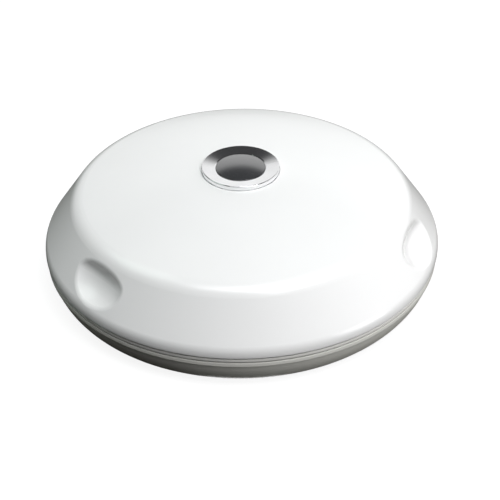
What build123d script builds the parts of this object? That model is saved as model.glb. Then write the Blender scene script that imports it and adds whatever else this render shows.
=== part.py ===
from build123d import *
import os
from math import atan2, cos, radians, sin, sqrt, tan

# Ceiling motion sensor: a mounting plate that is screwed to the ceiling, a detector head that twists
# onto it, and a domed cover that lifts off the head.
# Millimetres. The origin is the centre of the mounting face, +Z points into the room, and the
# first finger dimple of the cover is at +Y.

# ---- driving dimensions -------------------------------------------------------------------------
cover_radius = 55.0
wall = 2.2  # moulded shell of the cover
gap = 0.3  # between pieces that move past each other
thirds = (90, 210, 330)  # directions of the finger dimples and of the bayonet lugs
between = (30, 150, 270)  # directions of the bosses and of the keys, between the dimples

# Heights of the stack, from the ceiling into the room
plate_floor = 2.5
plate_top = 8.95
housing_floor_low = 6.5
housing_floor_top = 8.3
flange_low = plate_top + gap
flange_top = 10.2
seal_top = 10.65
rim_low = 10.75
board_low = 11.4
board_top = 13.0

# Cover: vertical band, conical skirt, domed top
band_top = 12.7
shoulder_radius = 46.0
shoulder_height = 26.1
dome_top = 33.55
band_blend = 4.5
shoulder_blend = 7.0

# Finger dimples: each is steep above its deepest line and runs out gently below it
dimple_height = 18.6
dimple_depth = 2.7
dimple_half_width = 10.4
dimple_rise = 3.6  # from the deepest line up the skirt to the dimple's edge
dimple_fall = 7.0  # from the deepest line down the skirt to the dimple's edge
dimple_blend = 1.7

# Lens and bezel in the middle of the dome
lens_radius = 6.8
bezel_radius = 10.7
barrel_radius = 9.2
barrel_low = 28.9
seat_height = 32.7
boss_radius = 14.0
boss_height = 30.8
nut_low = 26.2

# Mounting plate and bayonet
plate_lip_radius = 54.6
plate_side = (54.2, 7.5)  # (radius, height) where the bowed side meets the lip
plate_bow = (52.8, 3.6)
plate_foot_radius = 49.7
plate_bore = 51.6
cable_bore = 2.75
slot_spacing = 60.3
slot_length = 9.0
screw_hole_radius = 2.3
hole_spacing = 72.0
spigot_radius = 48.0
spigot_bore = 46.0
spigot_low = 2.9
lug_radius = 51.2
lug_low = 3.4
lug_top = 5.4
lug_span = 20.0
ledge_bore = spigot_radius + 0.4
ledge_low = lug_top + gap
ledge_top = 7.7
unlock_turn = 24.0  # twist that frees the head

# Housing and board
flange_radius = 54.75
collar_radius = 50.9
collar_bore = 49.1
collar_top = 12.8
wiring_hole = 12.0
standoff_ring = 36.0
board_radius = 43.5
slot_in_board = (20.0, 4.4)
slot_in_board_y = -11.8

pieces = {}  # every finished piece by its node name


def turn(*outline, mode=Mode.ADD):
    """Revolves a closed outline of (radius, height) points about Z."""
    with BuildSketch(Plane.XZ) as section:
        with BuildLine():
            Polyline(*outline, close=True)
        make_face()
    revolve(section.sketch, axis=Axis.Z, mode=mode)


def ring_sector(inner, outer, span):
    """A flat piece of a ring, centred on +X."""
    with BuildSketch() as sector:
        with BuildLine():
            near = CenterArc((0, 0), inner, -span / 2, span)
            far = CenterArc((0, 0), outer, -span / 2, span)
            Line(near @ 0, far @ 0)
            Line(near @ 1, far @ 1)
        make_face()
    return sector.sketch


def sectors(inner, outer, span, low, high, directions, mode=Mode.ADD):
    """Raises the same ring sector in several directions."""
    piece = ring_sector(inner, outer, span)
    with BuildSketch(Plane.XY.offset(low)) as footprint:
        for direction in directions:
            add(piece, rotation=direction)
    extrude(footprint.sketch, amount=high - low, mode=mode)


def drum(radius, low, high, mode=Mode.ADD):
    """A disc or a round hole about Z."""
    with BuildSketch(Plane.XY.offset(low)) as footprint:
        Circle(radius)
    extrude(footprint.sketch, amount=high - low, mode=mode)


def polar(radius, direction, height=0.0):
    """A point at a radius and a direction about Z."""
    return Vector(radius * cos(radians(direction)), radius * sin(radians(direction)), height)


def on_board(x, y, turned=0.0, height=board_top):
    """A work plane on the circuit board's top, turned about Z."""
    return Plane(origin=(x, y, height), x_dir=polar(1.0, turned), z_dir=(0, 0, 1))


# ---- cover --------------------------------------------------------------------------------------
skirt_slope = atan2(shoulder_height - band_top, cover_radius - shoulder_radius)
dome_sag = dome_top - shoulder_height
dome_radius = (shoulder_radius**2 + dome_sag**2) / (2 * dome_sag)


def dome_form(inset):
    """The cover's outer form, moved inwards by inset, as one solid down to the rim."""
    radius = dome_radius - inset
    centre = dome_top - dome_radius
    skirt_foot = band_top - inset * tan((radians(90) - skirt_slope) / 2)
    # The skirt line (r = foot_r - t cos, z = foot_z + t sin) meets the dome's circle.
    foot_r = cover_radius - inset
    along = cos(skirt_slope) * foot_r - sin(skirt_slope) * (skirt_foot - centre)
    across = foot_r**2 + (skirt_foot - centre) ** 2 - radius**2
    travel = along + sqrt(along**2 - across)
    corner = (foot_r - travel * cos(skirt_slope), skirt_foot + travel * sin(skirt_slope))
    half_way = (corner[0] / 2, centre + sqrt(radius**2 - (corner[0] / 2) ** 2))
    apex = (0, centre + radius)
    with BuildPart() as form:
        with BuildSketch(Plane.XZ) as section:
            with BuildLine():
                Polyline(apex, (0, rim_low), (foot_r, rim_low), (foot_r, skirt_foot), corner)
                ThreePointArc(corner, half_way, apex)
            make_face()
            fillet(section.vertices().sort_by_distance(corner)[0], shoulder_blend - inset)
            fillet(section.vertices().sort_by_distance((foot_r, skirt_foot))[0], band_blend - inset)
        revolve(axis=Axis.Z)
    return form.part


# The dimple's steep and gentle arcs touch each other at the deepest line.
steep_radius = (dimple_rise**2 + dimple_depth**2) / (2 * dimple_depth)
gentle_radius = (dimple_fall**2 + dimple_depth**2) / (2 * dimple_depth)
press_axis_height = (dimple_half_width**2 - dimple_depth**2) / (2 * dimple_depth)


def dimple_press(inset):
    """The spindle that presses one finger dimple, grown by inset.

    Y points up the skirt and Z out of it, from the deepest line. The spindle's axis is outside.
    """
    steep, gentle = steep_radius + inset, gentle_radius + inset
    top = (steep, steep_radius - dimple_depth)
    deepest = (0, -dimple_depth - inset)

    def on_arc(radius, centre_height, angle):
        return (radius * sin(radians(angle)), centre_height - radius * cos(radians(angle)))

    end = on_arc(gentle, gentle_radius - dimple_depth, -60)
    with BuildPart() as press:
        with BuildSketch(Plane.YZ) as section:
            with BuildLine():
                ThreePointArc(top, on_arc(steep, steep_radius - dimple_depth, 45), deepest)
                ThreePointArc(deepest, on_arc(gentle, gentle_radius - dimple_depth, -30), end)
                Polyline(end, (end[0], press_axis_height), (top[0], press_axis_height), top)
            make_face()
        revolve(section.sketch, axis=Axis((0, 0, press_axis_height), (0, 1, 0)))
    return press.part


deepest_height = dimple_height + (dimple_fall - dimple_rise) / 2 * sin(skirt_slope)
deepest_radius = cover_radius - (deepest_height - band_top) / tan(skirt_slope)
dimple_seats = [
    Plane(
        origin=polar(deepest_radius, direction, deepest_height),
        x_dir=polar(1.0, direction + 90),
        z_dir=polar(sin(skirt_slope), direction, cos(skirt_slope)),
    ).location
    for direction in thirds
]

outer_form = dome_form(0)
middle_form = dome_form(wall / 2)
inner_form = dome_form(wall)
outer_press = dimple_press(0)
inner_press = dimple_press(wall)

with BuildPart() as cavity:
    add(inner_form)
    with Locations(*dimple_seats):
        add(inner_press, mode=Mode.SUBTRACT)

tamper_post = polar(36.5, 0)
tamper_post_low = 22.5
with BuildPart() as inner_details:
    drum(boss_radius, boss_height, dome_top)
    # Keys that fit the collar's notches, and ribs that centre the cover on the collar
    sectors(48.6, cover_radius - 1, 6.4, 11.2, 15.5, between)
    sectors(collar_radius + gap, cover_radius - 1, 1.6, 11.2, 14.0, range(0, 360, 20))
    with BuildSketch(Plane.XY.offset(tamper_post_low)):
        with Locations(tamper_post):
            Circle(2.6)
            Rectangle(9.0, 1.2)
            Rectangle(1.2, 9.0)
    extrude(amount=dome_top - tamper_post_low)
    add(middle_form, mode=Mode.INTERSECT)

with BuildPart() as cover:
    add(outer_form)
    with Locations(*dimple_seats):
        add(outer_press, mode=Mode.SUBTRACT)
    dimple_edges = cover.edges().filter_by(
        lambda edge: edge.geom_type not in (GeomType.CIRCLE, GeomType.LINE)
        and edge.length < 5 * dimple_half_width
    )
    fillet(dimple_edges, dimple_blend)
    add(cavity.part, mode=Mode.SUBTRACT)
    add(inner_details.part)
    drum(barrel_radius + 0.1, boss_height - 1, dome_top + 1, mode=Mode.SUBTRACT)
    drum(bezel_radius + 0.2, seat_height, dome_top + 1, mode=Mode.SUBTRACT)
pieces["cover"] = cover

# ---- lens, bezel and the nut that clamps them into the cover ----------------------------------------
# The ring is dished: it slopes up from a narrow bevel at the lens to its rim, and has an upright
# outer wall.
bezel_bore = lens_radius + 0.1
rim_top = 34.4
rim_bevel = 0.2
bevel_low = (bezel_bore, 33.85)
dish_low = (bezel_bore + 0.3, 33.98)
with BuildPart() as lens_bezel:
    with BuildSketch(Plane.XZ):
        with BuildLine():
            Polyline(
                dish_low,
                bevel_low,
                (bezel_bore, barrel_low),
                (barrel_radius, barrel_low),
                (barrel_radius, seat_height),
                (bezel_radius, seat_height),
                (bezel_radius, rim_top - rim_bevel),
            )
            ThreePointArc(
                (bezel_radius, rim_top - rim_bevel),
                (bezel_radius - 0.06, rim_top - 0.06),
                (bezel_radius - rim_bevel, rim_top),
            )
            Line((bezel_radius - rim_bevel, rim_top), dish_low)
        make_face()
    revolve(axis=Axis.Z)
pieces["lens_bezel"] = lens_bezel

lens_edge_height = 33.95
lens_crown = 0.95
lens_skin = 0.9
lens_flange_top = 27.9
groove_pitch = 0.55
groove_depth = 0.22
crown_radius = (lens_radius**2 + lens_crown**2) / (2 * lens_crown)


def lens_surface(radius, inset=0.0):
    """Height of the lens crown at a radius, moved inwards by inset."""
    centre = lens_edge_height + lens_crown - crown_radius
    return centre + sqrt((crown_radius - inset) ** 2 - radius**2)


def fresnel_outline():
    """The lens's inner face from its rim to its middle: steep steps that repeat at one pitch."""
    points = []
    rings = int((lens_radius - 1.6) / groove_pitch)
    for ring in range(rings, 0, -1):
        outer_r = ring * groove_pitch + 0.4
        points.append((outer_r, lens_surface(outer_r, lens_skin)))
        points.append((outer_r - 0.05, lens_surface(outer_r, lens_skin) + groove_depth))
    points.append((0, lens_surface(0, lens_skin)))
    return points


with BuildPart() as lens:
    with BuildSketch(Plane.XZ):
        with BuildLine():
            ThreePointArc(
                (0, lens_surface(0)),
                (lens_radius / 2, lens_surface(lens_radius / 2)),
                (lens_radius, lens_edge_height),
            )
            Polyline(
                (lens_radius, lens_edge_height),
                (lens_radius, lens_flange_top),
                (barrel_radius, lens_flange_top),
                (barrel_radius, lens_flange_top - 1.0),
                (lens_radius - 1.0, lens_flange_top - 1.0),
                (lens_radius - 1.0, lens_surface(lens_radius - 1.0, lens_skin)),
                *fresnel_outline(),
                (0, lens_surface(0)),
            )
        make_face()
    revolve(axis=Axis.Z)
pieces["lens"] = lens

with BuildPart() as lens_seal:
    with BuildSketch(Plane.XZ):
        with Locations((8.35, (barrel_low + lens_flange_top) / 2)):
            Circle((barrel_low - lens_flange_top) / 2)
    revolve(axis=Axis.Z)
pieces["lens_seal"] = lens_seal

nut_lip = lens_flange_top - 1.0
with BuildPart() as lens_nut:
    turn(
        (7.7, nut_low),
        (11.4, nut_low),
        (11.4, boss_height),
        (barrel_radius + 0.05, boss_height),
        (barrel_radius + 0.05, nut_lip),
        (7.7, nut_lip),
    )
    with BuildSketch(Plane.XY.offset(nut_low)):
        with PolarLocations(11.6, 18):
            Rectangle(0.8, 1.4)
    extrude(amount=boss_height - nut_low, mode=Mode.SUBTRACT)
pieces["lens_nut"] = lens_nut

# ---- mounting plate -----------------------------------------------------------------------------
grommet_hole = 7.0
with BuildPart() as mounting_plate:
    with BuildSketch(Plane.XZ):
        with BuildLine():
            Line((0, 0), (plate_foot_radius, 0))
            ThreePointArc((plate_foot_radius, 0), plate_bow, plate_side)
            Polyline(
                plate_side,
                (plate_lip_radius, plate_side[1]),
                (plate_lip_radius, plate_top),
                (plate_bore, plate_top),
                (plate_bore, plate_floor + 0.8),
                (plate_bore - 0.8, plate_floor),
                (0, plate_floor),
                (0, 0),
            )
        make_face()
    revolve(axis=Axis.Z)
    lip_edges = mounting_plate.edges().filter_by(GeomType.CIRCLE).filter_by(
        lambda edge: edge.radius > plate_lip_radius - 0.01
    )
    fillet(lip_edges, 0.35)
    # Ledges that hold the lugs, the rib that stops each lug when it is locked, and the one that
    # stops it when it is free
    lug_starts = [direction - lug_span / 2 for direction in thirds]
    stop_span = 2.0
    ledge_directions = [start - 0.5 - stop_span + 12.0 for start in lug_starts]
    sectors(ledge_bore, plate_bore + 0.1, 24.0, ledge_low, ledge_top, ledge_directions)
    locked_stops = [start - 0.5 - stop_span / 2 for start in lug_starts]
    free_stops = [start + lug_span + unlock_turn + 0.5 + stop_span / 2 for start in lug_starts]
    sectors(ledge_bore, plate_bore + 0.1, stop_span, plate_floor - 0.1, ledge_top, locked_stops + free_stops)
    # Ways in for the screws
    with BuildSketch():
        with GridLocations(slot_spacing, 0, 2, 1):
            SlotOverall(slot_length, 2 * screw_hole_radius)
        with GridLocations(0, hole_spacing, 1, 2):
            Circle(screw_hole_radius)
    extrude(amount=plate_floor, mode=Mode.SUBTRACT)
    # Cable hole with a seat for the grommet, and shallow pockets between the ribs of the back
    drum(grommet_hole, 0, plate_floor, mode=Mode.SUBTRACT)
    drum(9.3, 0, 1.0, mode=Mode.SUBTRACT)
    sectors(13, 24, 50, 0, 0.8, range(30, 390, 60), mode=Mode.SUBTRACT)
    sectors(40.5, 47.5, 15, 0, 0.8, range(10, 370, 20), mode=Mode.SUBTRACT)
    # Bosses round the screw holes, inside
    with BuildSketch(Plane.XY.offset(plate_floor)):
        with GridLocations(slot_spacing, 0, 2, 1):
            SlotOverall(slot_length + 5, 2 * screw_hole_radius + 5)
            SlotOverall(slot_length, 2 * screw_hole_radius, mode=Mode.SUBTRACT)
        with GridLocations(0, hole_spacing, 1, 2):
            Circle(screw_hole_radius + 2.5)
            Circle(screw_hole_radius, mode=Mode.SUBTRACT)
    extrude(amount=0.8)
pieces["mounting_plate"] = mounting_plate

with BuildPart() as cable_grommet:
    turn(
        (cable_bore, 0.15),
        (9.1, 0.15),
        (9.1, 1.0),
        (grommet_hole, 1.0),
        (grommet_hole, plate_floor),
        (8.5, plate_floor),
        (8.5, 3.3),
        (5.4, 3.6),
        (4.0, 6.0),
        (cable_bore, 6.0),
    )
pieces["cable_grommet"] = cable_grommet

# ---- rear housing of the head ---------------------------------------------------------------------
with BuildPart() as rear_housing:
    turn(
        (wiring_hole, housing_floor_low),
        (spigot_bore, housing_floor_low),
        (spigot_bore, spigot_low),
        (spigot_radius, spigot_low),
        (spigot_radius, flange_low),
        (flange_radius, flange_low),
        (flange_radius, flange_top),
        (collar_radius, flange_top),
        (collar_radius, collar_top),
        (collar_bore, collar_top),
        (collar_bore, flange_top),
        (spigot_bore, flange_top),
        (spigot_bore, housing_floor_top),
        (wiring_hole, housing_floor_top),
    )
    flange_edges = rear_housing.edges().filter_by(GeomType.CIRCLE).filter_by(
        lambda edge: edge.radius > flange_radius - 0.01
    )
    fillet(flange_edges, 0.3)
    sectors(spigot_radius - 0.2, lug_radius, lug_span, lug_low, lug_top, thirds)
    # Notches in the collar that take the cover's keys
    sectors(collar_bore - 1, collar_radius + 0.05, 7.4, 10.9, collar_top + 1, between, mode=Mode.SUBTRACT)
    # Lip round the wiring hole, stiffening ribs and the bosses under the board
    drum(wiring_hole + 1.4, housing_floor_top, housing_floor_top + 1.6)
    drum(wiring_hole, housing_floor_low, housing_floor_top + 1.6, mode=Mode.SUBTRACT)
    with BuildSketch(Plane.XY.offset(housing_floor_top - 0.2)):
        with PolarLocations(29, 6):
            Rectangle(32, 1.2)
    extrude(amount=1.4)
    with BuildSketch(Plane.XY.offset(housing_floor_top - 0.2)):
        with Locations(*[polar(standoff_ring, direction) for direction in between]):
            Circle(3.2)
    extrude(amount=board_low - housing_floor_top + 0.2)
    with BuildSketch(Plane.XY.offset(board_low)):
        with Locations(*[polar(standoff_ring, direction) for direction in between]):
            Circle(1.15)
    extrude(amount=-4.2, mode=Mode.SUBTRACT)
pieces["rear_housing"] = rear_housing

with BuildPart() as housing_seal:
    turn(
        (collar_radius + 0.3, flange_top),
        (54.1, flange_top),
        (54.1, seal_top - 0.1),
        (54.0, seal_top),
        (collar_radius + 0.3, seal_top),
    )
pieces["housing_seal"] = housing_seal

# ---- circuit board and its screws -------------------------------------------------------------------
board_screw_places = [polar(standoff_ring, direction) for direction in between]
with BuildPart() as circuit_board:
    with BuildSketch(Plane.XY.offset(board_low)):
        Circle(board_radius)
        with Locations(*board_screw_places):
            Circle(1.5, mode=Mode.SUBTRACT)
        with Locations((0, slot_in_board_y)):
            RectangleRounded(*slot_in_board, 2.0, mode=Mode.SUBTRACT)
        with PolarLocations(board_radius + 0.5, 3, start_angle=thirds[0]):
            Circle(2.5, mode=Mode.SUBTRACT)
    extrude(amount=board_top - board_low)
pieces["circuit_board"] = circuit_board

with BuildPart() as board_screws:
    with Locations(*[Location(place + Vector(0, 0, board_top)) for place in board_screw_places]):
        Cylinder(2.7, 1.9, align=(Align.CENTER, Align.CENTER, Align.MIN))
    fillet(board_screws.faces().group_by(Axis.Z)[-1].edges(), 0.8)
    with Locations(*[Location(place + Vector(0, 0, board_top + 0.5)) for place in board_screw_places]):
        Box(3.0, 0.6, 2.0, align=(Align.CENTER, Align.CENTER, Align.MIN), mode=Mode.SUBTRACT)
        Box(0.6, 3.0, 2.0, align=(Align.CENTER, Align.CENTER, Align.MIN), mode=Mode.SUBTRACT)
    with Locations(*[Location(place + Vector(0, 0, board_top - 4.5)) for place in board_screw_places]):
        Cylinder(1.1, 4.5, align=(Align.CENTER, Align.CENTER, Align.MIN))
pieces["board_screws"] = board_screws

# ---- sensor tower under the lens --------------------------------------------------------------------
tower_top = 19.2
sensor_board_top = 20.2
with BuildPart() as sensor_tower:
    turn((7.4, board_top), (9.0, board_top), (9.0, tower_top), (7.4, tower_top))
    sectors(9.0, 10.6, 14, board_top, board_top + 1.6, (45, 135, 225, 315))
    sectors(7.0, 9.2, 34, board_top + 1.6, tower_top, (90, 270), mode=Mode.SUBTRACT)
pieces["sensor_tower"] = sensor_tower

with BuildPart() as sensor_board:
    drum(8.6, tower_top, sensor_board_top)
pieces["sensor_board"] = sensor_board

link_pitch = 2.54
board_face = Plane.XY.offset(board_top)
with BuildPart() as link_header:
    with BuildSketch(board_face):
        Rectangle(4 * link_pitch, 2.4)
    extrude(amount=2.5)
    with BuildSketch(board_face):
        with GridLocations(link_pitch, 0, 4, 1):
            Rectangle(0.64, 0.64)
    extrude(amount=2.5, mode=Mode.SUBTRACT)
pieces["link_header"] = link_header

with BuildPart() as link_pins:
    with BuildSketch(board_face):
        with GridLocations(link_pitch, 0, 4, 1):
            Rectangle(0.64, 0.64)
    extrude(amount=tower_top - board_top)
pieces["link_pins"] = link_pins

can_radius = 4.1
can_top = 24.4
window_size = (5.4, 4.4)
with BuildPart() as pir_can:
    drum(4.6, sensor_board_top, sensor_board_top + 0.5)
    with BuildSketch(Plane.XY.offset(sensor_board_top)):
        with Locations(polar(4.7, 45)):
            Rectangle(1.2, 0.9, rotation=45)
    extrude(amount=0.5)
    drum(can_radius, sensor_board_top + 0.5, can_top)
    fillet(pir_can.faces().sort_by(Axis.Z)[-1].edges(), 0.5)
    with BuildSketch(Plane.XY.offset(can_top)):
        RectangleRounded(*window_size, 0.4)
    extrude(amount=-0.5, mode=Mode.SUBTRACT)
pieces["pir_can"] = pir_can

with BuildPart() as pir_window:
    with BuildSketch(Plane.XY.offset(can_top - 0.5)):
        RectangleRounded(*window_size, 0.4)
    extrude(amount=0.35)
pieces["pir_window"] = pir_window

with BuildPart(on_board(6.6, 0, 90, sensor_board_top)) as walk_test_led:
    Box(2.0, 1.25, 0.5, align=(Align.CENTER, Align.CENTER, Align.MIN))
    Box(1.2, 1.1, 0.9, align=(Align.CENTER, Align.CENTER, Align.MIN))
pieces["walk_test_led"] = walk_test_led

# ---- terminal block ---------------------------------------------------------------------------------
ways = 6
way_pitch = 5.08
block_length = ways * way_pitch
block_depth = 8.2
block_height = 10.0
terminal_plane = on_board(0, -23.5)
way_offsets = [(way - (ways - 1) / 2) * way_pitch for way in range(ways)]
terminal_side = Plane(terminal_plane.origin, x_dir=(0, 1, 0), z_dir=(1, 0, 0))
mouth_centre = terminal_plane.origin + Vector(0, block_depth / 2, 0)
terminal_mouth = Plane(mouth_centre, x_dir=(1, 0, 0), z_dir=(0, -1, 0))
with BuildPart() as terminal_block:
    with BuildSketch(terminal_side):
        with BuildLine():
            Polyline(
                (-block_depth / 2, 0),
                (block_depth / 2, 0),
                (block_depth / 2, 6.2),
                (block_depth / 2 - 1.4, block_height),
                (-block_depth / 2 + 1.4, block_height),
                (-block_depth / 2, 6.2),
                close=True,
            )
        make_face()
    extrude(amount=block_length / 2, both=True)
    with BuildSketch(terminal_plane.offset(block_height)):
        with GridLocations(way_pitch, 0, ways, 1):
            Circle(1.95)
    extrude(amount=-4.4, mode=Mode.SUBTRACT)
    with BuildSketch(terminal_mouth):
        with Locations(*[(offset, 3.0) for offset in way_offsets]):
            RectangleRounded(3.6, 4.0, 0.3)
    extrude(amount=6.2, mode=Mode.SUBTRACT)
pieces["terminal_block"] = terminal_block

with BuildPart() as terminal_clamps:
    with BuildSketch(terminal_mouth.offset(0.8)):
        with Locations(*[(offset, 3.0) for offset in way_offsets]):
            RectangleRounded(3.4, 3.8, 0.3)
            Rectangle(2.4, 2.4, mode=Mode.SUBTRACT)
    extrude(amount=4.6)
pieces["terminal_clamps"] = terminal_clamps

with BuildPart() as terminal_screws:
    with BuildSketch(terminal_plane.offset(block_height - 4.4)):
        with GridLocations(way_pitch, 0, ways, 1):
            Circle(1.75)
    extrude(amount=2.2)
    fillet(terminal_screws.faces().group_by(Axis.Z)[-1].edges(), 0.3)
    with BuildSketch(terminal_plane.offset(block_height - 2.9)):
        with GridLocations(way_pitch, 0, ways, 1):
            Rectangle(3.6, 0.6)
    extrude(amount=1.0, mode=Mode.SUBTRACT)
pieces["terminal_screws"] = terminal_screws

# ---- other parts on the board -----------------------------------------------------------------------
with BuildPart() as alarm_relay:
    with BuildSketch(on_board(25.0, -6.0)):
        RectangleRounded(7.4, 15.0, 0.6)
    extrude(amount=9.6)
    fillet(alarm_relay.faces().sort_by(Axis.Z)[-1].edges(), 0.4)
pieces["alarm_relay"] = alarm_relay

capacitor_places = [(13.0, 24.5), (23.5, 16.5)]
with BuildPart() as smoothing_capacitors:
    with Locations(*[Location((x, y, board_top)) for x, y in capacitor_places]):
        Cylinder(4.0, 10.5, align=(Align.CENTER, Align.CENTER, Align.MIN))
    fillet(smoothing_capacitors.faces().group_by(Axis.Z)[-1].edges(), 0.5)
    fillet(smoothing_capacitors.faces().group_by(Axis.Z)[0].edges(), 0.4)
    with Locations(*[Location((x, y, board_top + 1.9)) for x, y in capacitor_places]):
        Torus(4.25, 0.45, mode=Mode.SUBTRACT)
pieces["smoothing_capacitors"] = smoothing_capacitors

chip_plane = on_board(-4.5, 21.0)
with BuildPart(chip_plane) as microcontroller:
    with BuildSketch(chip_plane):
        RectangleRounded(9.0, 9.0, 0.3)
    extrude(amount=1.5)
    with BuildSketch(chip_plane.offset(1.5)):
        with Locations((-3.2, 3.2)):
            Circle(0.5)
    extrude(amount=-0.15, mode=Mode.SUBTRACT)
    lead_pitch = 0.8
    leads = 9
    for quarter in range(4):
        with Locations(Rotation(0, 0, 90 * quarter)):
            with Locations((5.2, 0, 0)):
                with GridLocations(0, lead_pitch, 1, leads):
                    Box(1.5, 0.35, 0.25, align=(Align.CENTER, Align.CENTER, Align.MIN))
pieces["microcontroller"] = microcontroller

with BuildPart(on_board(-16.0, -10.0, 90)) as signal_amplifier:
    Box(8.7, 3.9, 1.6, align=(Align.CENTER, Align.CENTER, Align.MIN))
    with GridLocations(1.27, 5.2, 7, 2):
        Box(0.45, 1.5, 0.25, align=(Align.CENTER, Align.CENTER, Align.MIN))
pieces["signal_amplifier"] = signal_amplifier

crystal_plane = on_board(8.6, 15.0)
with BuildPart() as timing_crystal:
    with BuildSketch(crystal_plane):
        SlotOverall(11.2, 4.8)
    extrude(amount=0.5)
    with BuildSketch(crystal_plane):
        SlotOverall(10.2, 3.8)
    extrude(amount=3.5)
    fillet(timing_crystal.faces().sort_by(Axis.Z)[-1].edges(), 0.6)
pieces["timing_crystal"] = timing_crystal

with BuildPart(on_board(22.5, -20.0)) as voltage_regulator:
    Box(6.5, 3.5, 1.7, align=(Align.CENTER, Align.CENTER, Align.MIN))
    with Locations((0, 2.6)):
        Box(3.0, 1.8, 0.3, align=(Align.CENTER, Align.CENTER, Align.MIN))
    with Locations((0, -2.6)):
        with GridLocations(2.3, 0, 3, 1):
            Box(0.7, 1.8, 0.3, align=(Align.CENTER, Align.CENTER, Align.MIN))
pieces["voltage_regulator"] = voltage_regulator

with BuildPart(on_board(-22.5, -19.5, 35)) as surge_suppressor:
    Box(4.4, 3.6, 2.2, align=(Align.CENTER, Align.CENTER, Align.MIN))
    chamfer(surge_suppressor.faces().sort_by(Axis.Z)[-1].edges(), 0.4)
    Box(5.6, 2.0, 0.5, align=(Align.CENTER, Align.CENTER, Align.MIN))
pieces["surge_suppressor"] = surge_suppressor

# Small chips: place and direction of each
resistor_spots = [
    (-13.0, 0.5, 90), (-13.0, 5.5, 90), (-22.0, -9.0, 90), (-9.0, 12.2, 0), (15.5, -3.0, 90),
    (15.5, 2.0, 90), (-18.0, 19.0, 90), (-21.0, 22.5, 90), (-17.0, 27.0, 0), (4.0, 29.5, 0),
    (31.5, -12.5, 90), (29.5, -18.0, 90), (-30.0, -15.5, 0), (5.0, 34.0, 0), (17.0, -9.5, 90),
]  # fmt: skip
capacitor_spots = [
    (-17.0, 2.5, 90), (-22.0, -4.0, 0), (-14.0, 13.0, 90), (4.5, 22.5, 90), (15.5, 9.5, 90),
    (29.5, 8.0, 0), (-26.0, 24.0, 0), (-4.0, 31.0, 0), (17.5, -14.5, 0), (27.5, -25.0, 0),
]  # fmt: skip
with BuildPart(Plane.XY.offset(board_top)) as chip_resistors:
    for x, y, turned in resistor_spots:
        with Locations(Location((x, y, 0), (0, 0, turned))):
            Box(2.0, 1.25, 0.5, align=(Align.CENTER, Align.CENTER, Align.MIN))
pieces["chip_resistors"] = chip_resistors

with BuildPart(Plane.XY.offset(board_top)) as chip_capacitors:
    for x, y, turned in capacitor_spots:
        with Locations(Location((x, y, 0), (0, 0, turned))):
            Box(2.0, 1.3, 1.2, align=(Align.CENTER, Align.CENTER, Align.MIN))
pieces["chip_capacitors"] = chip_capacitors

# ---- three-way setting switch -----------------------------------------------------------------------
dip_plane = on_board(-25.5, 9.0)
dip_height = 4.4
dip_pitch = 2.54
dip_travel = 2.0
slider_size = (1.1, 1.6)
slider_seat = 2.7
with BuildPart() as dip_switch_body:
    with BuildSketch(dip_plane):
        RectangleRounded(3 * dip_pitch + 2.2, 6.4, 0.3)
    extrude(amount=dip_height)
    with BuildSketch(dip_plane.offset(dip_height)):
        with GridLocations(dip_pitch, 0, 3, 1):
            Rectangle(slider_size[0] + 2 * gap, slider_size[1] + dip_travel + 2 * gap)
    extrude(amount=slider_seat - dip_height, mode=Mode.SUBTRACT)
pieces["dip_switch_body"] = dip_switch_body

for slider in range(3):
    slider_plane = dip_plane.offset(slider_seat + gap)
    slider_place = ((slider - 1) * dip_pitch, -dip_travel / 2)
    with BuildPart(slider_plane) as dip_slider:
        with Locations(slider_place):
            Box(*slider_size, dip_height - slider_seat + 0.3, align=(Align.CENTER, Align.CENTER, Align.MIN))
    chamfer(dip_slider.faces().sort_by(Axis.Z)[-1].edges().filter_by(Axis.X), 0.3)
    pieces[f"dip_slider_{slider + 1}"] = dip_slider

# ---- range trimmer ----------------------------------------------------------------------------------
trimmer_plane = on_board(-31.0, -7.0)
trimmer_height = 4.2
trimmer_seat = 2.6
rotor_radius = 2.1
with BuildPart() as trimmer_body:
    with BuildSketch(trimmer_plane):
        RectangleRounded(6.6, 6.6, 0.4)
    extrude(amount=trimmer_height)
    with BuildSketch(trimmer_plane.offset(trimmer_height)):
        Circle(rotor_radius + gap)
    extrude(amount=trimmer_seat - trimmer_height, mode=Mode.SUBTRACT)
pieces["trimmer_body"] = trimmer_body

rotor_plane = trimmer_plane.offset(trimmer_seat + gap)
with BuildPart() as trimmer_rotor:
    with BuildSketch(rotor_plane):
        Circle(rotor_radius)
    extrude(amount=1.7)
    with BuildSketch(rotor_plane.offset(1.7)):
        Rectangle(0.6, 3.0)
        with Locations((0, 1.0)):
            Triangle(a=1.6, b=1.6, c=1.6)
    extrude(amount=-0.8, mode=Mode.SUBTRACT)
pieces["trimmer_rotor"] = trimmer_rotor

# ---- tamper switch under the cover's post -----------------------------------------------------------
tamper_plane = on_board(tamper_post.X, tamper_post.Y)
switch_height = 4.0
plunger_cap_low = 8.5
plunger_top = tamper_post_low - gap - board_top
stem_radius = 1.1
spring_wire = 0.4
spring_radius = 1.9
with BuildPart() as tamper_switch_body:
    with BuildSketch(tamper_plane):
        RectangleRounded(6.0, 6.0, 0.5)
    extrude(amount=switch_height)
    with BuildSketch(tamper_plane.offset(switch_height)):
        Circle(stem_radius + gap)
    extrude(amount=-3.0, mode=Mode.SUBTRACT)
pieces["tamper_switch_body"] = tamper_switch_body

with BuildPart() as tamper_plunger:
    with BuildSketch(tamper_plane.offset(1.5)):
        Circle(stem_radius)
    extrude(amount=plunger_cap_low - 1.5)
    with BuildSketch(tamper_plane.offset(plunger_cap_low)):
        Circle(2.9)
    extrude(amount=plunger_top - plunger_cap_low)
    fillet(tamper_plunger.faces().sort_by(Axis.Z)[-1].edges(), 0.3)
pieces["tamper_plunger"] = tamper_plunger

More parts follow.
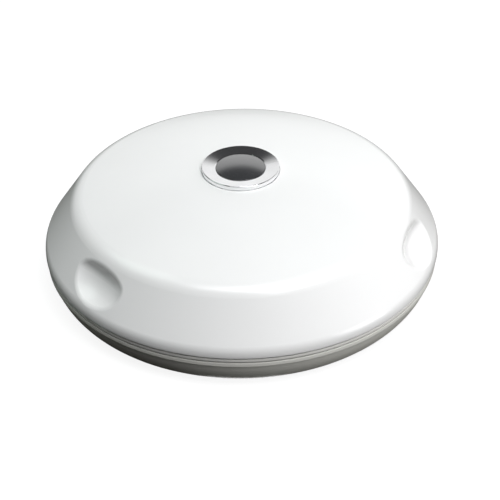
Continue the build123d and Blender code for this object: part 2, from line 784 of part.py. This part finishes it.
spring_low = switch_height + spring_wire / 2 + 0.02
spring_high = plunger_cap_low - spring_wire / 2 - 0.05
with BuildPart() as tamper_spring:
    with BuildLine(tamper_plane.offset(spring_low)):
        coil = Helix(pitch=0.95, height=spring_high - spring_low, radius=spring_radius)
    with BuildSketch(Plane(origin=coil @ 0, z_dir=coil % 0)):
        Circle(spring_wire / 2)
    sweep(path=coil.edge(), is_frenet=True)
pieces["tamper_spring"] = tamper_spring

# ---- one file for each piece ------------------------------------------------------------------------
os.makedirs("parts", exist_ok=True)
for name, piece in pieces.items():
    piece.part.label = name
    export_step(piece.part, f"parts/{name}.step")
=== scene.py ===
from collections import namedtuple
from math import cos, pi, radians, sin

import bmesh
import bpy
from mathutils import Matrix, Vector


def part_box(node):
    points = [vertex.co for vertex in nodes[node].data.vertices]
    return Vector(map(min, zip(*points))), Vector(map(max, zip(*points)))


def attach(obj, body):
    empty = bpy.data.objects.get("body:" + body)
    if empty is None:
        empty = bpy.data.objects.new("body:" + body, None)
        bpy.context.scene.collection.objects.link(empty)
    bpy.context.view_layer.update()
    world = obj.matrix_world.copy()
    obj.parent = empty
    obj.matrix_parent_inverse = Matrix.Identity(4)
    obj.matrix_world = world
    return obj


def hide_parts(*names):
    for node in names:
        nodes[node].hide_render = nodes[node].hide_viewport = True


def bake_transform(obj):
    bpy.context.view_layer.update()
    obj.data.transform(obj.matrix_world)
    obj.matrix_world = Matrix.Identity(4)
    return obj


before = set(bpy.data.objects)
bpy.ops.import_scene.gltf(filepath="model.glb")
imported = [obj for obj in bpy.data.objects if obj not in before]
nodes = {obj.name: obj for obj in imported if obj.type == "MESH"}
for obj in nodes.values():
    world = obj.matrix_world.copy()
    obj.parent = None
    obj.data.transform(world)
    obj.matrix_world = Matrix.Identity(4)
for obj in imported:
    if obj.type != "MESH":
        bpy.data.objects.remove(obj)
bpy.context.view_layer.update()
MM = 0.001

scene = bpy.context.scene
scene.view_settings.view_transform = "Standard"
scene.view_settings.look = "None"

# ---- camera -------------------------------------------------------------------------------------
CAMERA_AZIMUTH = radians(-10.5)
CAMERA_ELEVATION = radians(33.9)
CAMERA_ROLL = radians(-0.91)
CAMERA_DISTANCE = 0.483
CAMERA_TARGET = Vector((0, 0, 0.0165))
SENSOR_WIDTH = 36
FOCAL_LENGTH = 3.45 * SENSOR_WIDTH
CAMERA_SHIFT = (0.0172, -0.060)


def direction(azimuth, elevation):
    """Unit vector towards an azimuth (0 is the side that faces -Y) and an elevation, in radians."""
    return Vector((sin(azimuth) * cos(elevation), -cos(azimuth) * cos(elevation), sin(elevation)))


def aim(obj, place, target, roll=0.0):
    """Puts a camera or a lamp at a place, looking at a target."""
    turn = (target - place).to_track_quat("-Z", "Y").to_matrix().to_4x4()
    obj.matrix_world = Matrix.Translation(place) @ turn @ Matrix.Rotation(roll, 4, "Z")


def add_camera():
    data = bpy.data.cameras.new("camera")
    camera = bpy.data.objects.new("camera", data)
    scene.collection.objects.link(camera)
    back = direction(CAMERA_AZIMUTH, CAMERA_ELEVATION)
    aim(camera, CAMERA_TARGET + back * CAMERA_DISTANCE, CAMERA_TARGET, CAMERA_ROLL)
    data.sensor_width = SENSOR_WIDTH
    data.lens = FOCAL_LENGTH
    data.shift_x, data.shift_y = CAMERA_SHIFT
    data.clip_start = 0.01
    scene.camera = camera


# ---- light ------------------------------------------------------------------------------------
LIT_POINT = Vector((0, 0, 0.015))


def softbox(name, azimuth, elevation, distance, width, height, power, colour=(1, 1, 1)):
    """A rectangular light seen from the object in a direction given relative to the camera."""
    data = bpy.data.lights.new(name, "AREA")
    data.shape = "RECTANGLE"
    data.size, data.size_y = width, height
    data.energy = power
    data.color = colour
    lamp = bpy.data.objects.new(name, data)
    scene.collection.objects.link(lamp)
    place = direction(CAMERA_AZIMUTH + radians(azimuth), radians(elevation)) * distance
    aim(lamp, place, LIT_POINT)


# Brightness and colour of the sky by height, from straight down (0) to straight up (1)
SKY = (
    (0.0, (0.010, 0.009, 0.004)),
    (0.465, (0.034, 0.032, 0.020)),
    (0.52, (1.0, 1.0, 1.0)),
    (0.762, (0.90, 0.90, 0.90)),
    (0.826, (0.05, 0.05, 0.052)),
    (1.0, (0.045, 0.045, 0.045)),
)
BRIGHT_SIDE = 133  # degrees round from the camera
DARK_SIDE_SHARE = 0.13
SIDE_FADE = 0.7  # how far the bright side fades into the dark one
BACKDROP = 0.93


def add_world():
    """A studio that is bright round the horizon behind and to the right, and dark overhead and below."""
    world = bpy.data.worlds.new("studio")
    scene.world = world
    world.use_nodes = True
    tree = world.node_tree
    tree.nodes.clear()
    node, link = tree.nodes.new, tree.links.new
    coords = node("ShaderNodeTexCoord")
    split = node("ShaderNodeSeparateXYZ")
    link(coords.outputs["Generated"], split.inputs[0])
    height = node("ShaderNodeMapRange")
    height.inputs["From Min"].default_value = -1
    link(split.outputs["Z"], height.inputs["Value"])
    sky = node("ShaderNodeValToRGB")
    sky.color_ramp.interpolation = "EASE"
    while len(sky.color_ramp.elements) < len(SKY):
        sky.color_ramp.elements.new(0.5)
    for element, (place, colour) in zip(sky.color_ramp.elements, SKY):
        element.position = place
        element.color = (*colour, 1)
    link(height.outputs[0], sky.inputs[0])
    side = node("ShaderNodeVectorMath")
    side.operation = "DOT_PRODUCT"
    side.inputs[1].default_value = direction(CAMERA_AZIMUTH + radians(BRIGHT_SIDE), 0)
    link(coords.outputs["Generated"], side.inputs[0])
    fade = node("ShaderNodeMapRange")
    fade.interpolation_type = "SMOOTHSTEP"
    fade.inputs["From Min"].default_value = -SIDE_FADE
    fade.inputs["From Max"].default_value = SIDE_FADE
    fade.inputs["To Min"].default_value = DARK_SIDE_SHARE
    link(side.outputs["Value"], fade.inputs["Value"])
    light = node("ShaderNodeBackground")
    link(sky.outputs["Color"], light.inputs["Color"])
    link(fade.outputs[0], light.inputs["Strength"])
    plain = node("ShaderNodeBackground")
    plain.inputs["Color"].default_value = (BACKDROP, BACKDROP, BACKDROP, 1)
    path = node("ShaderNodeLightPath")
    mix = node("ShaderNodeMixShader")
    link(path.outputs["Is Camera Ray"], mix.inputs[0])
    link(light.outputs[0], mix.inputs[1])
    link(plain.outputs[0], mix.inputs[2])
    out = node("ShaderNodeOutputWorld")
    link(mix.outputs[0], out.inputs["Surface"])


# ---- materials --------------------------------------------------------------------------------
GRAIN_SCALE = 2500
GRAIN_HEIGHT = 0.0001


def mottled(name, finish):
    """A moulded or plated surface: fine change of colour and gloss, and a grain in relief."""
    material = bpy.data.materials.new(name)
    material.use_nodes = True
    tree = material.node_tree
    shader = tree.nodes["Principled BSDF"]
    node, link = tree.nodes.new, tree.links.new
    coords = node("ShaderNodeTexCoord")
    noise = node("ShaderNodeTexNoise")
    noise.inputs["Scale"].default_value = finish.scale
    noise.inputs["Detail"].default_value = 4
    link(coords.outputs["Object"], noise.inputs["Vector"])
    vary = node("ShaderNodeMapRange")
    vary.inputs["From Min"].default_value = 0.3
    vary.inputs["From Max"].default_value = 0.7
    vary.inputs["To Min"].default_value = 1 - finish.spread
    vary.inputs["To Max"].default_value = 1 + finish.spread
    link(noise.outputs["Fac"], vary.inputs["Value"])
    tint = node("ShaderNodeVectorMath")
    tint.operation = "SCALE"
    tint.inputs[0].default_value = finish.colour
    link(vary.outputs[0], tint.inputs["Scale"])
    link(tint.outputs["Vector"], shader.inputs["Base Color"])
    gloss = node("ShaderNodeMath")
    gloss.operation = "MULTIPLY"
    gloss.inputs[1].default_value = finish.rough
    link(vary.outputs[0], gloss.inputs[0])
    link(gloss.outputs[0], shader.inputs["Roughness"])
    if finish.bump:
        grain = node("ShaderNodeTexNoise")
        grain.inputs["Scale"].default_value = GRAIN_SCALE
        grain.inputs["Detail"].default_value = 3
        link(coords.outputs["Object"], grain.inputs["Vector"])
        relief = node("ShaderNodeBump")
        relief.inputs["Strength"].default_value = finish.bump
        relief.inputs["Distance"].default_value = GRAIN_HEIGHT
        link(grain.outputs["Fac"], relief.inputs["Height"])
        link(relief.outputs["Normal"], shader.inputs["Normal"])
    for socket, value in finish.sockets:
        shader.inputs[socket].default_value = value
    return material


Finish = namedtuple("Finish", "colour rough spread scale bump sockets covers", defaults=(0.0, (), ()))
METAL = (("Metallic", 1.0),)
# Each finish and the CAD nodes that it covers
FINISHES = {
    "cover_gloss": Finish((0.86, 0.86, 0.855), 0.26, 0.006, 60, 0.02,
                          (("Coat Weight", 0.25), ("Coat Roughness", 0.12)), ("cover",)),
    # The housing and plate are the same white plastic as the cover; their darker, warmer greys are painted
    # shade for the shaded lower band.
    "housing_satin_painted_shade": Finish((0.80, 0.795, 0.76), 0.34, 0.01, 90, 0.06, covers=("rear_housing",)),
    "plate_satin_painted_shade": Finish((0.73, 0.725, 0.68), 0.36, 0.012, 90, 0.08, covers=("mounting_plate",)),
    "bezel_chrome": Finish((0.93, 0.935, 0.945), 0.10, 0.02, 300, 0.0, METAL, ("lens_bezel",)),
    "lens_dark": Finish((0.025, 0.026, 0.029), 0.24, 0.02, 200, 0.0,
                        (("IOR", 2.2), ("Specular IOR Level", 1.0)), ("lens",)),
    "seal_rubber": Finish((0.03, 0.03, 0.03), 0.7, 0.1, 500, 0.2, covers=("housing_seal", "lens_seal")),
    "grommet_rubber": Finish((0.045, 0.045, 0.045), 0.65, 0.1, 500, 0.25, covers=("cable_grommet",)),
    "board_green": Finish((0.012, 0.10, 0.04), 0.28, 0.12, 900, 0.05,
                          (("Coat Weight", 0.4),), ("circuit_board", "sensor_board")),
    "black_plastic": Finish((0.022, 0.022, 0.024), 0.45, 0.08, 400, 0.15,
                            covers=("sensor_tower", "link_header", "tamper_switch_body", "lens_nut")),
    "chip_epoxy": Finish((0.028, 0.028, 0.03), 0.55, 0.12, 900, 0.3,
                         covers=("microcontroller", "signal_amplifier", "voltage_regulator",
                                 "surge_suppressor")),
    "resistor_glaze": Finish((0.018, 0.018, 0.02), 0.25, 0.1, 900, 0.1, covers=("chip_resistors",)),
    "capacitor_ceramic": Finish((0.42, 0.28, 0.15), 0.4, 0.06, 600, 0.1, covers=("chip_capacitors",)),
    "tinned_metal": Finish((0.74, 0.74, 0.72), 0.3, 0.06, 900, 0.1, METAL,
                           ("link_pins", "terminal_clamps")),
    "zinc_steel": Finish((0.62, 0.63, 0.66), 0.26, 0.08, 700, 0.08, METAL,
                         ("board_screws", "terminal_screws")),
    "nickel_can": Finish((0.70, 0.69, 0.66), 0.22, 0.05, 500, 0.05, METAL, ("pir_can", "timing_crystal")),
    "window_dark": Finish((0.02, 0.018, 0.03), 0.08, 0.05, 300, covers=("pir_window",)),
    "led_red": Finish((0.55, 0.02, 0.02), 0.15, 0.05, 500, 0.0, (("Coat Weight", 0.6),), ("walk_test_led",)),
    "switch_red": Finish((0.42, 0.018, 0.013), 0.32, 0.06, 400, 0.1, covers=("dip_switch_body",)),
    "terminal_green": Finish((0.02, 0.20, 0.06), 0.38, 0.06, 400, 0.12, covers=("terminal_block",)),
    "trimmer_blue": Finish((0.02, 0.10, 0.42), 0.32, 0.05, 400, 0.1, covers=("trimmer_body",)),
    "sleeve_navy": Finish((0.012, 0.016, 0.045), 0.3, 0.08, 400, 0.05, covers=("smoothing_capacitors",)),
    "relay_cream": Finish((0.74, 0.73, 0.68), 0.35, 0.03, 300, 0.1, covers=("alarm_relay",)),
    "slider_white": Finish((0.80, 0.80, 0.77), 0.38, 0.03, 300, 0.1,
                           covers=("dip_slider_1", "dip_slider_2", "dip_slider_3", "trimmer_rotor",
                                   "tamper_plunger")),
    "spring_steel": Finish((0.60, 0.60, 0.61), 0.25, 0.06, 900, 0.0, METAL, ("tamper_spring",)),
    "track_copper": Finish((0.045, 0.22, 0.075), 0.26, 0.06, 900, 0.0, (("Coat Weight", 0.4),)),
    "legend_white": Finish((0.78, 0.78, 0.74), 0.5, 0.05, 900),
    "solder": Finish((0.70, 0.70, 0.69), 0.2, 0.08, 900, 0.1, METAL),
    "can_aluminium": Finish((0.72, 0.73, 0.74), 0.3, 0.06, 900, 0.05, METAL),
    "sleeve_grey": Finish((0.50, 0.51, 0.53), 0.35, 0.05, 400),
}  # fmt: skip
materials = {}


def paint_all():
    for name, finish in FINISHES.items():
        materials[name] = mottled(name, finish)
        for node_name in finish.covers:
            for material_slot in nodes[node_name].material_slots:
                material_slot.material = materials[name]


# ---- shapes for the pieces that the CAD leaves out ----------------------------------------------
def add_piece(name, bm, material, body="head", smooth=30):
    """Makes a piece from a mesh in millimetres in the row frame. A body of None leaves it unparented."""
    bmesh.ops.scale(bm, vec=(MM, MM, MM), verts=bm.verts)
    bmesh.ops.recalc_face_normals(bm, faces=bm.faces)
    mesh = bpy.data.meshes.new(name)
    bm.to_mesh(mesh)
    bm.free()
    mesh.materials.append(materials[material])
    for polygon in mesh.polygons:
        polygon.use_smooth = True
    mesh.set_sharp_from_angle(angle=radians(smooth))
    piece = bpy.data.objects.new(name, mesh)
    scene.collection.objects.link(piece)
    if body:
        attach(piece, body)
    return piece


def strip(bm, points, width, low, high, closed=False):
    """A flat strip of one width along a route of (x, y) points, with mitred corners."""
    route = [Vector(point) for point in points]
    count = len(route)
    sections = []
    for index, point in enumerate(route):
        before = route[index - 1] if closed or index else point
        after = route[(index + 1) % count] if closed or index < count - 1 else point
        arriving = (point - before).normalized() if before != point else (after - point).normalized()
        leaving = (after - point).normalized() if after != point else arriving
        along = (arriving + leaving).normalized()
        half = width / 2 / max(0.4, along.dot(leaving))
        aside = Vector((-along.y, along.x)) * half
        corners = ((aside, low), (aside, high), (-aside, high), (-aside, low))
        sections.append([bm.verts.new((*(point + offset), height)) for offset, height in corners])
    pairs = list(zip(sections, sections[1:]))
    if closed:
        pairs.append((sections[-1], sections[0]))
    else:
        bm.faces.new(sections[0])
        bm.faces.new(reversed(sections[-1]))
    for near, far in pairs:
        for side in range(4):
            bm.faces.new((near[side], near[(side + 1) % 4], far[(side + 1) % 4], far[side]))


def polar(centre, radius, degrees):
    """The point at a radius and an angle from a centre."""
    return centre[0] + radius * cos(radians(degrees)), centre[1] + radius * sin(radians(degrees))


def circle(centre, radius, count=32):
    return [polar(centre, radius, 360 * step / count) for step in range(count)]


def rectangle(centre, size, turned=0.0):
    """Corners of a rectangle turned about its centre, in degrees."""
    c, s = cos(radians(turned)), sin(radians(turned))
    corners = ((-1, -1), (1, -1), (1, 1), (-1, 1))
    halves = [(x * size[0] / 2, y * size[1] / 2) for x, y in corners]
    return [(centre[0] + x * c - y * s, centre[1] + x * s + y * c) for x, y in halves]


def lathe(bm, centre, outline, count=20):
    """Turns an outline of (radius, height) points about an upright line."""
    rings = []
    for radius, height in outline:
        if radius:
            rings.append([bm.verts.new((x, y, height)) for x, y in circle(centre, radius, count)])
        else:
            rings.append([bm.verts.new((*centre, height))])
    for lower, upper in zip(rings, rings[1:]):
        for step in range(count):
            following = (step + 1) % count
            if len(lower) == 1:
                bm.faces.new((lower[0], upper[step], upper[following]))
            elif len(upper) == 1:
                bm.faces.new((lower[step], lower[following], upper[0]))
            else:
                bm.faces.new((lower[step], lower[following], upper[following], upper[step]))


# ---- the circuit board, in millimetres ---------------------------------------------------------
BOARD_TOP = 13.0
TRACK_HEIGHT = 0.035
TRACK_WIDTH = 0.55
EDGE_TRACK_RADIUS = 42.4
EDGE_TRACK_WIDTH = 0.9
VIA_RADIUS = 0.5
VIA_RING = 0.4
VIA_HEIGHT = 0.06
LEGEND_HEIGHT = 0.05
LEGEND_LINE = 0.2
LEGEND_MARGIN = 0.45  # between a part and the line round it

# The route of each track and the centre of each via
TRACKS = (
    ((-12.7, -18.6), (-12.7, -16.0), (-15.5, -14.6)),
    ((-7.6, -18.6), (-7.6, -16.6), (-11.5, -14.6), (-12.6, -12.0)),
    ((-2.5, -18.6), (-2.5, -15.2)),
    ((2.5, -18.6), (2.5, -16.4), (12.5, -16.4), (17.0, -12.0), (20.8, -12.0)),
    ((7.6, -18.6), (7.6, -17.4), (14.0, -17.4), (18.0, -19.0)),
    ((12.7, -18.6), (14.0, -18.4), (19.0, -21.5)),
    ((-16.0, -6.6), (-16.0, -3.0), (-13.0, -0.5)),
    ((-14.7, -6.6), (-14.7, -5.0), (-11.6, -1.8), (-11.6, 8.0), (-8.5, 12.0)),
    ((-13.0, 6.6), (-13.0, 11.8), (-14.0, 12.4)),
    ((-20.5, 8.0), (-17.5, 8.0), (-11.0, 14.5), (-9.8, 17.8)),
    ((-20.5, 10.5), (-18.5, 10.5), (-13.5, 16.5), (-10.0, 18.8)),
    ((-20.5, 12.8), (-19.5, 12.8), (-14.5, 18.5), (-10.0, 19.6)),
    ((-27.6, -7.0), (-24.0, -6.0), (-22.6, -4.0)),
    ((-21.4, -4.0), (-18.5, -2.0), (-17.0, 1.6)),
    ((1.0, 17.8), (3.0, 17.0), (4.4, 15.8)),
    ((1.0, 18.6), (4.0, 18.6), (6.6, 18.0)),
    ((1.0, 20.2), (3.6, 20.2), (4.5, 21.6)),
    ((4.5, 23.4), (4.5, 26.0), (8.4, 26.0)),
    ((1.0, 23.5), (2.6, 25.0), (2.6, 28.6), (3.2, 29.5)),
    ((-4.5, 27.4), (-4.5, 30.2)),
    ((-7.0, 27.4), (-7.0, 30.5), (-4.0, 33.4), (3.6, 34.0)),
    ((-10.0, 22.6), (-13.0, 22.6), (-15.0, 24.0), (-16.2, 26.4)),
    ((-10.0, 23.4), (-12.0, 24.5), (-12.0, 31.5), (-6.5, 36.5), (6.0, 36.5)),
    ((-17.8, 27.0), (-22.0, 26.4), (-24.9, 24.4)),
    ((15.5, -1.8), (15.5, 0.8)),
    ((15.5, 3.2), (15.5, 8.4)),
    ((17.5, 9.5), (20.0, 11.0), (21.0, 12.4)),
    ((28.4, 8.0), (26.0, 9.4), (25.0, 12.2)),
    ((30.6, 8.0), (32.5, 6.0), (33.6, 3.4)),
    ((33.6, -3.4), (32.2, -6.0), (31.5, -11.2)),
    ((31.5, -13.8), (31.0, -16.0), (29.8, -16.8)),
    ((29.5, -19.4), (28.4, -22.0), (27.5, -23.8)),
    ((17.0, -8.2), (17.0, -4.6), (15.6, -4.2)),
    ((-29.0, -15.5), (-26.5, -17.5), (-25.6, -18.0)),
    ((-31.0, -15.5), (-34.5, -12.0), (-36.5, -4.0), (-36.5, 6.0), (-33.0, 15.5), (-27.0, 23.5)),
    ((36.5, -5.0), (38.5, -9.0), (36.5, -14.0), (31.0, -22.5)),
    ((38.0, 5.0), (38.4, 9.0), (34.0, 18.0), (28.5, 22.0)),
)  # fmt: skip
VIAS = (
    (-18.5, -2.0), (-36.5, 1.0), (-12.0, 27.5), (6.0, 36.5), (38.4, 9.0), (-2.5, -15.2), (12.5, -14.6),
    (20.5, 3.0), (-31.0, 18.5), (10.0, 9.5), (-9.5, 9.5), (-33.0, 15.5), (9.5, 31.5), (33.5, 18.6),
    (-36.0, -9.5), (27.0, 2.8), (-19.5, -29.0), (21.0, -29.0), (36.5, -14.0), (-7.0, 30.5),
)  # fmt: skip
# Centre and turn of each chip resistor and chip capacitor
SMALL_CHIPS = (
    (-13.0, 0.5, 90), (-13.0, 5.5, 90), (-22.0, -9.0, 90), (-9.0, 12.2, 0), (15.5, -3.0, 90),
    (15.5, 2.0, 90), (-18.0, 19.0, 90), (-21.0, 22.5, 90), (-17.0, 27.0, 0), (4.0, 29.5, 0),
    (31.5, -12.5, 90), (29.5, -18.0, 90), (-30.0, -15.5, 0), (5.0, 34.0, 0), (17.0, -9.5, 90),
    (-17.0, 2.5, 90), (-22.0, -4.0, 0), (-14.0, 13.0, 90), (4.5, 22.5, 90), (15.5, 9.5, 90),
    (29.5, 8.0, 0), (-26.0, 24.0, 0), (-4.0, 31.0, 0), (17.5, -14.5, 0), (27.5, -25.0, 0),
)  # fmt: skip
# Centre and radius of each smoothing capacitor
CAPACITORS = (((13.0, 24.5), 4.0), ((23.5, 16.5), 4.0))
CAPACITOR_TOP = 23.5
STRIPE_MIDDLE = 200  # degrees
STRIPE_SPREAD = 36
BOARD_SCREW_RADIUS = 36
BOARD_SCREWS = (30, 150, 270)
OUTLINED = (
    "alarm_relay", "dip_switch_body", "trimmer_body", "tamper_switch_body", "timing_crystal",
    "terminal_block", "signal_amplifier", "voltage_regulator",
)  # fmt: skip
SURGE_SUPPRESSOR = ((-22.5, -19.5), (6.4, 4.6), 35)  # centre, size and turn of its outline


def box_mm(node_name):
    """A node's box in millimetres: its low and high corners."""
    low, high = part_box(node_name)
    return [value / MM for value in low], [value / MM for value in high]


def add_board_details():
    tracks = bmesh.new()
    for route in TRACKS:
        strip(tracks, route, TRACK_WIDTH, BOARD_TOP, BOARD_TOP + TRACK_HEIGHT)
    edge = circle((0, 0), EDGE_TRACK_RADIUS, 96)
    strip(tracks, edge, EDGE_TRACK_WIDTH, BOARD_TOP, BOARD_TOP + TRACK_HEIGHT, closed=True)
    add_piece("board_tracks", tracks, "track_copper")

    pads = bmesh.new()
    for place in VIAS:
        ring = circle(place, VIA_RADIUS, 20)
        strip(pads, ring, VIA_RING, BOARD_TOP, BOARD_TOP + VIA_HEIGHT, closed=True)
    add_piece("board_vias", pads, "solder")

    legend = bmesh.new()

    def outline(route, width=LEGEND_LINE, closed=True):
        strip(legend, route, width, BOARD_TOP, BOARD_TOP + LEGEND_HEIGHT, closed)

    for name in OUTLINED:
        low, high = box_mm(name)
        middle = ((low[0] + high[0]) / 2, (low[1] + high[1]) / 2)
        size = (high[0] - low[0] + 2 * LEGEND_MARGIN, high[1] - low[1] + 2 * LEGEND_MARGIN)
        outline(rectangle(middle, size))
        # A bar at one end shows which way round the part goes.
        left, above = middle[0] - size[0] / 2, middle[1] + size[1] / 2 + 0.5
        outline(((left, above), (left + 1.6, above)), 0.3, closed=False)
    for centre, radius in CAPACITORS:
        outline(circle(centre, radius + 0.55, 48))
    outline(circle((0, 0), box_mm("sensor_tower")[1][0] + 0.7, 64))
    for turn in BOARD_SCREWS:
        outline(circle(polar((0, 0), BOARD_SCREW_RADIUS, turn), 4.2, 40))
    outline(rectangle(*SURGE_SUPPRESSOR))
    add_piece("board_legend", legend, "legend_white")


def add_capacitor_details():
    """The bare tops of the capacitors, with thin dark strips painted as the shade in their vent scores, and
    the stripe on each sleeve.
    """
    discs, stripes = bmesh.new(), bmesh.new()
    for centre, radius in CAPACITORS:
        lathe(discs, centre, ((radius - 0.9, CAPACITOR_TOP), (radius - 0.95, CAPACITOR_TOP + 0.05),
                              (0, CAPACITOR_TOP + 0.06)), 36)
        columns = []
        for step in range(9):
            place = polar(centre, radius + 0.03, STRIPE_MIDDLE + STRIPE_SPREAD * (step / 8 - 0.5))
            heights = (BOARD_TOP + 1.6, CAPACITOR_TOP - 0.9)
            columns.append([stripes.verts.new((*place, height)) for height in heights])
        for near, far in zip(columns, columns[1:]):
            stripes.faces.new((near[0], far[0], far[1], near[1]))
    add_piece("capacitor_tops", discs, "can_aluminium")
    add_piece("capacitor_stripes", stripes, "sleeve_grey")
    # The vent scores are not cut; thin dark strips on the top paint the shade that their grooves would hold.
    vent_score_shade = bmesh.new()
    for centre, radius in CAPACITORS:
        for turn in (0, 60, 120):
            ends = (polar(centre, radius - 1.5, turn + 180), polar(centre, radius - 1.5, turn))
            strip(vent_score_shade, ends, 0.18, CAPACITOR_TOP + 0.055, CAPACITOR_TOP + 0.075)
    add_piece("capacitor_vent_painted_shade", vent_score_shade, "sleeve_navy")


def add_solder():
    """Solder beside the leads of the chips and small parts."""
    joints = bmesh.new()

    def blob(x, y, radius, height):
        lathe(joints, (x, y), ((radius, BOARD_TOP), (radius * 0.85, BOARD_TOP + height * 0.35),
                               (radius * 0.5, BOARD_TOP + height * 0.8), (0, BOARD_TOP + height)), 12)

    low, high = box_mm("microcontroller")
    middle = ((low[0] + high[0]) / 2, (low[1] + high[1]) / 2)
    for step in range(-4, 5):
        offset = step * 0.8
        for x in (low[0] - 0.1, high[0] + 0.1):
            blob(x, middle[1] + offset, 0.26, 0.2)
        for y in (low[1] - 0.1, high[1] + 0.1):
            blob(middle[0] + offset, y, 0.26, 0.2)
    low, high = box_mm("signal_amplifier")
    for step in range(4):
        x = (low[0] + high[0]) / 2 + (step - 1.5) * 1.27
        for y in (low[1] - 0.1, high[1] + 0.1):
            blob(x, y, 0.3, 0.22)
    for x, y, turn in SMALL_CHIPS:
        for end in (turn, turn + 180):
            blob(*polar((x, y), 1.15, end), 0.55, 0.42)
    add_piece("solder_joints", joints, "solder")


COIL_WIRE = 0.2  # the wire's radius
COIL_TURNS = 4.5
COIL_FLAT_TURNS = 0.75  # at each end
COIL_STEPS_PER_TURN = 24
COIL_SIDES = 8


def add_tamper_coil():
    """The spring under the tamper plunger's cap, which on the real sensor stretches as the plunger rises."""
    low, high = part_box("tamper_spring")
    centre = ((low[0] + high[0]) / 2 / MM, (low[1] + high[1]) / 2 / MM)
    radius = (high[0] - low[0]) / 2 / MM - COIL_WIRE
    bottom, top = low[2] / MM + COIL_WIRE, high[2] / MM - COIL_WIRE
    coil = bmesh.new()
    rings = []
    steps = int(COIL_TURNS * COIL_STEPS_PER_TURN)
    for step in range(steps + 1):
        share = step / steps
        angle = 2 * pi * COIL_TURNS * share
        climbed = (share * COIL_TURNS - COIL_FLAT_TURNS) / (COIL_TURNS - 2 * COIL_FLAT_TURNS)
        rise = min(1.0, max(0.0, climbed))
        outwards = Vector((cos(angle), sin(angle), 0))
        middle = Vector((*centre, bottom + (top - bottom) * rise)) + outwards * radius
        ring = []
        for side in range(COIL_SIDES):
            around = 2 * pi * side / COIL_SIDES
            offset = outwards * cos(around) + Vector((0, 0, sin(around)))
            ring.append(coil.verts.new(middle + offset * COIL_WIRE))
        rings.append(ring)
    for near, far in zip(rings, rings[1:]):
        for side in range(COIL_SIDES):
            following = (side + 1) % COIL_SIDES
            coil.faces.new((near[side], near[following], far[following], far[side]))
    coil.faces.new(rings[0])
    coil.faces.new(reversed(rings[-1]))
    piece = add_piece("tamper_coil", coil, "spring_steel", body=None)
    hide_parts("tamper_spring")
    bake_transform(piece)


def add_chip_marks():
    """A round dimple at the first lead of each chip."""
    marks = bmesh.new()
    for node_name in ("microcontroller", "signal_amplifier"):
        low, high = box_mm(node_name)
        top = high[2]
        lathe(marks, (low[0] + 2.4, high[1] - 2.4), ((0.55, top), (0.5, top + 0.015), (0, top + 0.015)), 24)
    add_piece("chip_marks", marks, "resistor_glaze")


# ---- floor ------------------------------------------------------------------------------------
FLOOR_HEIGHT = -0.0002
FLOOR_SIZE = 12.0
FLOOR_FINISH = Finish(
    (0.2, 0.2, 0.2), 0.9, 0.004, 3,
    sockets=(("Specular IOR Level", 0.0), ("Emission Color", (1, 1, 1, 1)), ("Emission Strength", 0.88)),
)  # fmt: skip


def add_floor():
    """A pale floor that is lit and seen, throws no light back onto the object, and is clear from below."""
    mesh = bpy.data.meshes.new("floor")
    corners = [(x, y, FLOOR_HEIGHT) for x, y in rectangle((0, 0), (FLOOR_SIZE, FLOOR_SIZE))]
    mesh.from_pydata(corners, [], [(0, 1, 2, 3)])
    floor = bpy.data.objects.new("floor", mesh)
    scene.collection.objects.link(floor)
    material = mottled("floor_white", FLOOR_FINISH)
    mesh.materials.append(material)
    tree = material.node_tree
    node, link = tree.nodes.new, tree.links.new
    side = node("ShaderNodeNewGeometry")
    clear = node("ShaderNodeBsdfTransparent")
    mix = node("ShaderNodeMixShader")
    link(side.outputs["Backfacing"], mix.inputs[0])
    link(tree.nodes["Principled BSDF"].outputs[0], mix.inputs[1])
    link(clear.outputs[0], mix.inputs[2])
    link(mix.outputs[0], tree.nodes["Material Output"].inputs["Surface"])
    floor.visible_diffuse = False
    floor.visible_glossy = False
    floor.visible_transmission = False
    floor.visible_shadow = False


add_camera()
add_world()
# Directions in degrees, distances and sizes in metres, power in watts
softbox("key", 44, 62, 1.2, 0.8, 0.8, 10.2, (0.985, 0.99, 1.0))
softbox("front", -5, 70, 1.2, 0.8, 0.4, 3.6, (0.98, 0.97, 1.0))
softbox("side", 66, 3, 1.2, 0.6, 0.4, 3.2)
softbox("fill", -100, 55, 1.2, 0.6, 0.6, 2.2, (0.84, 1.0, 0.92))
softbox("below", 0, -89, 0.06, 0.03, 0.03, 0.005)
add_floor()
paint_all()
add_board_details()
add_capacitor_details()
add_solder()
add_chip_marks()
add_tamper_coil()
